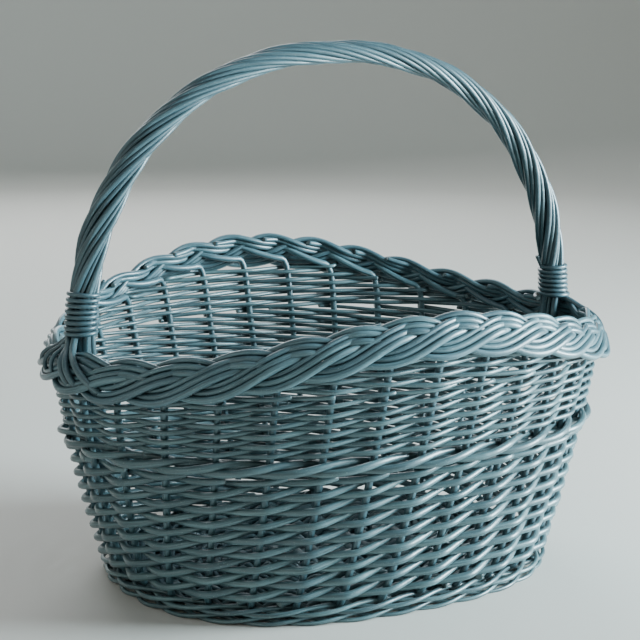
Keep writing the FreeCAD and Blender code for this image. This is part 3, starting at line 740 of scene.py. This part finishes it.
def tail_path(start, end, sideways):
    """From under a binding, slantwise down the plait's outer face and in between its strands."""
    foot = -0.5 if end > 0 else STAKE_COUNT / 2 - 0.5
    clear = PLAIT_BULGE * BORDER_DEPTH + STAKE_RADIUS + ROPE_BUTT
    path = []
    for share, across, over in TAIL_COURSE:
        path.append(border_point(foot - end * sideways * share, BORDER_WAVE * across, clear * over))
    return [start.lerp(path[0], 0.5) + Vector((0, 0, ROPE_TIP))] + path


def rope_angle(index, part):
    """Where round the bow a roping rod lies, at a share of the bow."""
    bundle, slot = divmod(index, ROPE_RODS)
    fan = (slot - (ROPE_RODS - 1) / 2) * ROPE_COVER / ROPE_RODS
    return 2 * math.pi * ((bundle + 0.5 + fan) / ROPE_BUNDLES + ROPE_TURNS * part)


def rope_radius(index, part):
    """Every other rod has its butt at the other foot."""
    along = part if index % 2 == 0 else 1 - part
    return ROPE_BUTT + (ROPE_TIP - ROPE_BUTT) * along


def rope_rod(index):
    """A thin rod laid spirally round the bow from foot to foot."""
    outermost = index % ROPE_RODS in (0, ROPE_RODS - 1)
    heap = 0.0 if outermost else ROPE_HEAP
    left, right = binding_parts(-1)[0], binding_parts(1)[0]
    path, radii = [], []
    for step in steps(0.0, 1.0, ROPE_STEPS * ROPE_TURNS):
        part = left + (right - left) * step
        radius = rope_radius(index, part)
        near = min(step, 1 - step)
        bulge = ROPE_BULGE * smooth(near / BULGE_RISE) * smooth((BULGE_END - near) / BULGE_FALL)
        stand_off = heap + bulge
        path.append(round_bow(part, rope_angle(index, part), core_radius(part) + radius + stand_off))
        radii.append(radius)
    return path, radii


def rope_leg(index, end):
    """Below its binding a roping rod runs down inside the wall beside the bow."""
    part = binding_parts(end)[0]
    angle = rope_angle(index, part)
    radius = CORE_FOOT_RADIUS + rope_radius(index, part)
    offset = Vector((-end * abs(radius * math.cos(angle)), -radius * math.sin(angle), 0))
    return [leg_point(end, z) + offset for z in ROPE_LEG]


def lay_roping(weave, end):
    """The roping rods whose thick ends are at one foot, which are every other one."""
    for index in range(0 if end < 0 else 1, ROPE_BUNDLES * ROPE_RODS, 2):
        path, radii = rope_rod(index)
        ends = []
        for foot, start in ((-1, path[0]), (1, path[-1])):
            angle = rope_angle(index, binding_parts(foot)[0])
            if math.cos(angle) > 0.0:
                fan = THICK_FAN if foot == end else THIN_FAN
                ends.append(tail_path(start, foot, fan + FAN_SPREAD * math.sin(angle)))
            else:
                ends.append(rope_leg(index, foot))
        path = ends[0][::-1] + path + ends[1]
        radii = [radii[0]] * len(ends[0]) + radii + [radii[-1]] * len(ends[1])
        weave.lay(path, radii, samples=3)


def lay_binding(weave, end):
    """A thin rod wound tightly round one leg, its end left standing on the inside."""
    bottom, top = binding_parts(end)
    grip = core_radius(bottom) + BINDING_GRIP
    turns = round(abs(top - bottom) * ARCH_LENGTH / BINDING_PITCH)
    path = []
    for turn in steps(0.0, turns, BINDING_STEPS):
        part = bottom + (top - bottom) * turn / turns
        loose = LOOSE_TURN * smooth(1 - turn) if end > 0 else 0.0
        path.append(round_bow(part, 2 * math.pi * turn + math.pi, grip + loose))
    for rise, away in STUB_COURSE:
        path.append(round_bow(top - end * rise / ARCH_LENGTH, math.pi, grip + away))
    weave.lay(path, taper(len(path), BINDING_BUTT, BINDING_TIP))


# ---------------------------------------------------------------- materials
# Patterns in the wood and paint: changes for each millimetre along a rod and across it, and the detail.
STREAKS = (0.035, 0.9, 5.0)
PATCHES = (0.03, 0.072, 3.0)
FIBRES = (0.12, 3.2, 4.0)
SPECKS = (0.8, 1.4, 3.0)
PATTERN_ROUGHNESS = 0.6

BLACK, WHITE = (0.0, 0.0, 0.0), (1.0, 1.0, 1.0)
COLD_ROD, WARM_ROD = (0.74, 0.76, 0.78), (1.16, 1.12, 1.08)    # the darkest and the lightest rod
PATCH_STRENGTH = 0.45
HOLLOW_PAINTED_SHADE = (0.42, 0.46, 0.48)     # painted shade between rods, darkest where they lie close together
HOLLOW_REACH = 0.006                  # metres
HOLLOW_SAMPLES = 6
SHEEN_BASE, SHEEN_RANGE = 0.30, 0.25  # roughness, and how much the fibres change it
COAT_WEIGHT, COAT_ROUGHNESS = 0.6, 0.22
BUMP_STRENGTH, BUMP_HEIGHT = 0.35, 0.0006


class Nodes:
    """A material's nodes, with short ways to add the kinds used here."""

    def __init__(self, material):
        material.use_nodes = True
        self.nodes = material.node_tree.nodes
        self.links = material.node_tree.links
        self.nodes.clear()
        output = self.nodes.new("ShaderNodeOutputMaterial")
        self.skin = self.nodes.new("ShaderNodeBsdfPrincipled")
        self.links.new(self.skin.outputs["BSDF"], output.inputs["Surface"])

    def feed(self, socket, value):
        """Set a socket from another node, a colour or a number."""
        if isinstance(value, bpy.types.NodeSocket):
            self.links.new(value, socket)
        elif isinstance(value, tuple):
            socket.default_value = (*value, 1.0)
        else:
            socket.default_value = value

    def attribute(self, name, output):
        node = self.nodes.new("ShaderNodeAttribute")
        node.attribute_name = name
        return node.outputs[output]

    def pattern(self, kind):
        """Noise drawn out along the grain."""
        along, across, detail = kind
        mapping = self.nodes.new("ShaderNodeMapping")
        mapping.inputs["Scale"].default_value = (along, across, across)
        self.feed(mapping.inputs["Vector"], self.attribute("grain", "Vector"))
        texture = self.nodes.new("ShaderNodeTexNoise")
        texture.inputs["Scale"].default_value = 1.0
        texture.inputs["Detail"].default_value = detail
        texture.inputs["Roughness"].default_value = PATTERN_ROUGHNESS
        self.feed(texture.inputs["Vector"], mapping.outputs["Vector"])
        return texture.outputs["Fac"]

    def ramp(self, value, stops):
        """Turn a value into a colour."""
        node = self.nodes.new("ShaderNodeValToRGB")
        elements = node.color_ramp.elements
        while len(elements) < len(stops):
            elements.new(0.5)
        for element, (position, colour) in zip(elements, stops):
            element.position = position
            element.color = (*colour, 1.0)
        self.feed(node.inputs["Fac"], value)
        return node.outputs["Color"]

    def mix(self, factor, first, second, blend="MIX"):
        """Mix two colours."""
        node = self.nodes.new("ShaderNodeMix")
        node.data_type = "RGBA"
        node.blend_type = blend
        self.feed(node.inputs[0], factor)
        self.feed(node.inputs[6], first)
        self.feed(node.inputs[7], second)
        return node.outputs[2]

    def maths(self, operation, first, second):
        node = self.nodes.new("ShaderNodeMath")
        node.operation = operation
        self.feed(node.inputs[0], first)
        self.feed(node.inputs[1], second)
        return node.outputs[0]


def fresh_paint(nodes, streaks, shade, light):
    """Streaked paint, a little different on each rod and fading in patches."""
    paint = nodes.mix(nodes.ramp(streaks, [(0.32, BLACK), (0.68, WHITE)]), shade, light)
    stops = [(0.0, COLD_ROD), (0.5, WHITE), (1.0, WARM_ROD)]
    paint = nodes.mix(1.0, paint, nodes.ramp(nodes.attribute("tone", "Fac"), stops), "MULTIPLY")
    faded = nodes.ramp(nodes.pattern(PATCHES), [(0.35, BLACK), (0.75, (PATCH_STRENGTH,) * 3)])
    return nodes.mix(faded, paint, nodes.mix(0.5, shade, light))


def worn_paint(nodes, paint, shade, wear):
    """Bare willow in specks and on the cut ends."""
    rubbed = nodes.ramp(nodes.pattern(SPECKS), [(0.62, BLACK), (0.74, (wear,) * 3)])
    paint = nodes.mix(rubbed, paint, WORN)
    return nodes.mix(nodes.attribute("cut", "Fac"), paint, nodes.mix(0.55, WORN, shade))


def painted_shade_in_hollows(nodes, paint):
    """Painted shade: the colour is darkened by ambient occlusion where rods lie close together."""
    hollow = nodes.nodes.new("ShaderNodeAmbientOcclusion")
    hollow.inputs["Distance"].default_value = HOLLOW_REACH
    hollow.samples = HOLLOW_SAMPLES
    shadow = nodes.ramp(hollow.outputs["AO"], [(0.15, HOLLOW_PAINTED_SHADE), (0.8, WHITE)])
    return nodes.mix(1.0, paint, shadow, "MULTIPLY")


def add_sheen(nodes, fibres):
    """Satin paint, less glossy where the fibres show."""
    roughness = nodes.maths("ADD", nodes.maths("MULTIPLY", fibres, SHEEN_RANGE), SHEEN_BASE)
    nodes.feed(nodes.skin.inputs["Roughness"], roughness)
    nodes.skin.inputs["Coat Weight"].default_value = COAT_WEIGHT
    nodes.skin.inputs["Coat Roughness"].default_value = COAT_ROUGHNESS


def add_bump(nodes, fibres, streaks):
    """Fibres and streaks stand a little out of the skin."""
    height = nodes.maths("ADD", nodes.maths("MULTIPLY", fibres, 0.6), nodes.maths("MULTIPLY", streaks, 0.5))
    bump = nodes.nodes.new("ShaderNodeBump")
    bump.inputs["Strength"].default_value = BUMP_STRENGTH
    bump.inputs["Distance"].default_value = BUMP_HEIGHT
    nodes.feed(bump.inputs["Height"], height)
    nodes.feed(nodes.skin.inputs["Normal"], bump.outputs["Normal"])


def painted_willow(name, shade, light, wear):
    """Thin blue-grey paint over willow: streaks along the rod, painted shade in the hollows and rubbed high
    spots.
    """
    material = bpy.data.materials.new(name)
    nodes = Nodes(material)
    streaks = nodes.pattern(STREAKS)
    fibres = nodes.pattern(FIBRES)
    paint = fresh_paint(nodes, streaks, shade, light)
    paint = worn_paint(nodes, paint, shade, wear)
    nodes.feed(nodes.skin.inputs["Base Color"], painted_shade_in_hollows(nodes, paint))
    add_sheen(nodes, fibres)
    add_bump(nodes, fibres, streaks)
    return material


WORN = (0.36, 0.46, 0.46)
WALL_PAINT = painted_willow("painted_willow_wall", (0.026, 0.064, 0.074), (0.12, 0.222, 0.245), 0.5)
STAKE_PAINT = painted_willow("painted_willow_stakes", (0.028, 0.072, 0.088), (0.125, 0.245, 0.285), 0.5)
BASE_PAINT = painted_willow("painted_willow_base", (0.022, 0.052, 0.06), (0.09, 0.17, 0.19), 0.6)
# The handle's paint is the wall's paint made darker: painted shade on the handle.
SHADED_HANDLE_PAINT = painted_willow("painted_willow_handle", (0.018, 0.049, 0.061), (0.085, 0.172, 0.205), 0.5)


# ---------------------------------------------------------------- the pieces
HALF_ROUND = STAKE_COUNT // 2
BACK_MIDDLE = 0.25 * STAKE_COUNT - 0.5
FRONT_MIDDLE = 0.75 * STAKE_COUNT - 0.5
LOWER_BAND = (LOWER_ROWS, LOWER_START, LOWER_PITCH, LOWER_BUTT, LOWER_TIP)
UPPER_BAND = (UPPER_ROWS, UPPER_START, UPPER_PITCH, UPPER_BUTT, UPPER_TIP)

# Each CAD node, its paint, and the function that lays its rods with the values that function takes.
PIECES = (
    ("base_long_sticks", BASE_PAINT, lay_base_long_sticks, ()),
    ("base_cross_sticks", BASE_PAINT, lay_base_cross_sticks, ()),
    ("base_weavers", BASE_PAINT, lay_base_weavers, ()),
    ("upsett_bottom_round", WALL_PAINT, lay_upsett, (0,)),
    ("upsett_top_round", WALL_PAINT, lay_upsett, (1,)),
    ("lower_weavers", WALL_PAINT, lay_randing, LOWER_BAND),
    ("back_middle_wale", WALL_PAINT, lay_middle_wale, (0,)),
    ("front_middle_wale", WALL_PAINT, lay_middle_wale, (HALF_ROUND,)),
    ("upper_weavers", WALL_PAINT, lay_randing, UPPER_BAND),
    ("front_packing", WALL_PAINT, lay_packing, (FRONT_MIDDLE,)),
    ("back_packing", WALL_PAINT, lay_packing, (BACK_MIDDLE,)),
    ("back_stakes", STAKE_PAINT, lay_stakes, (0, HALF_ROUND)),
    ("front_stakes", STAKE_PAINT, lay_stakes, (HALF_ROUND, STAKE_COUNT)),
    ("handle_bow", SHADED_HANDLE_PAINT, lay_bow, ()),
    ("left_roping_rods", SHADED_HANDLE_PAINT, lay_roping, (-1,)),
    ("right_roping_rods", SHADED_HANDLE_PAINT, lay_roping, (1,)),
    ("left_handle_binding", SHADED_HANDLE_PAINT, lay_binding, (-1,)),
    ("right_handle_binding", SHADED_HANDLE_PAINT, lay_binding, (1,)),
)

for seed, (node, material, lay, values) in enumerate(PIECES, 1):
    weave = Weave("willow_" + node, seed)
    lay(weave, *values)
    weave.piece(node, material)


# ---------------------------------------------------------------- floor, light and camera, in metres
FLOOR_RADIUS = 2.2            # of the flat part
FLOOR_HOLE = 0.001
COVE_RADIUS = 1.4
COVE_TOP = 3.6
COVE_STEPS, COVE_SIDES = 12, 64
FLOOR_COLOUR = (0.66, 0.63, 0.58, 1.0)
FLOOR_ROUGHNESS = 0.75

# Name, azimuth from the front, elevation, distance, size, watts and colour.
LIGHTS = (
    ("window", 63.0, 12.0, 1.5, 0.7, 105.0, (0.72, 0.92, 1.0)),
    ("sky", -25.0, 75.0, 1.7, 1.6, 4.0, (0.72, 0.86, 1.0)),
    ("room", -75.0, 20.0, 1.9, 1.4, 3.0, (1.0, 0.95, 0.88)),
    ("fill", 165.0, 30.0, 2.0, 1.5, 26.0, (0.90, 0.96, 1.0)),
)
WORLD_COLOUR = (0.80, 0.83, 0.85, 1.0)
WORLD_STRENGTH = 0.20

CAMERA_AZIMUTH, CAMERA_ELEVATION, CAMERA_ROLL = -28.47, 10.93, 0.62
CAMERA_DISTANCE = 1.1917
CAMERA_LENS = 99.1
CAMERA_SHIFT = Vector((-0.0081, 0.0044, -0.0102))    # from the middle of the basket to where it looks


def direction(azimuth, elevation):
    """From the basket towards a light or the camera."""
    a, e = math.radians(azimuth), math.radians(elevation)
    return Vector((math.sin(a) * math.cos(e), -math.cos(a) * math.cos(e), math.sin(e)))


def cove_profile():
    """Half a section through the studio: flat, then curving up into an upright wall."""
    rise = [math.pi / 2 * i / COVE_STEPS for i in range(COVE_STEPS + 1)]
    curve = [(FLOOR_RADIUS + COVE_RADIUS * math.sin(a), COVE_RADIUS * (1 - math.cos(a))) for a in rise]
    return [(FLOOR_HOLE, 0.0)] + curve + [(FLOOR_RADIUS + COVE_RADIUS, COVE_TOP)]


def floor_paint():
    material = bpy.data.materials.new("pale_floor")
    material.use_nodes = True
    skin = material.node_tree.nodes["Principled BSDF"]
    skin.inputs["Base Color"].default_value = FLOOR_COLOUR
    skin.inputs["Roughness"].default_value = FLOOR_ROUGHNESS
    return material


def make_floor():
    """A pale studio floor that sweeps up into a wall all round."""
    profile = cove_profile()
    rings = len(profile)
    verts, faces = [], []
    for i in range(COVE_SIDES):
        angle = 2 * math.pi * i / COVE_SIDES
        verts += [(r * math.cos(angle), r * math.sin(angle), z) for r, z in profile]
        here, ahead = i * rings, (i + 1) % COVE_SIDES * rings
        for k in range(rings - 1):
            faces.append((here + k, here + k + 1, ahead + k + 1, ahead + k))
    mesh = bpy.data.meshes.new("floor")
    mesh.from_pydata(verts, [], faces)
    mesh.polygons.foreach_set("use_smooth", [True] * len(faces))
    mesh.materials.append(floor_paint())
    floor = bpy.data.objects.new("floor", mesh)
    bpy.context.scene.collection.objects.link(floor)


def make_light(name, azimuth, elevation, distance, size, power, colour):
    """A soft square light aimed at the middle of the basket."""
    data = bpy.data.lights.new(name, "AREA")
    data.size = size
    data.energy = power
    data.color = colour
    light = bpy.data.objects.new(name, data)
    bpy.context.scene.collection.objects.link(light)
    back = direction(azimuth, elevation)
    light.location = Vector((0, 0, HANDLE_TOP / 2 * MM)) + back * distance
    light.rotation_euler = back.to_track_quat("Z", "Y").to_euler()


def make_world():
    """Dim, even light from all round."""
    world = bpy.data.worlds.new("studio")
    world.use_nodes = True
    background = world.node_tree.nodes["Background"]
    background.inputs["Color"].default_value = WORLD_COLOUR
    background.inputs["Strength"].default_value = WORLD_STRENGTH
    bpy.context.scene.world = world


def make_camera():
    """A long lens at the front left, a little above the rim."""
    data = bpy.data.cameras.new("camera")
    data.lens = CAMERA_LENS
    camera = bpy.data.objects.new("camera", data)
    bpy.context.scene.collection.objects.link(camera)
    back = direction(CAMERA_AZIMUTH, CAMERA_ELEVATION)
    middle = (Vector(CAD_BOX[0]) + Vector(CAD_BOX[1])) / 2
    camera.location = middle + CAMERA_SHIFT + back * CAMERA_DISTANCE
    camera.rotation_euler = back.to_track_quat("Z", "Y").to_euler()
    camera.rotation_euler.rotate_axis("Z", math.radians(CAMERA_ROLL))
    bpy.context.scene.camera = camera


make_floor()
for light_values in LIGHTS:
    make_light(*light_values)
make_world()
make_camera()
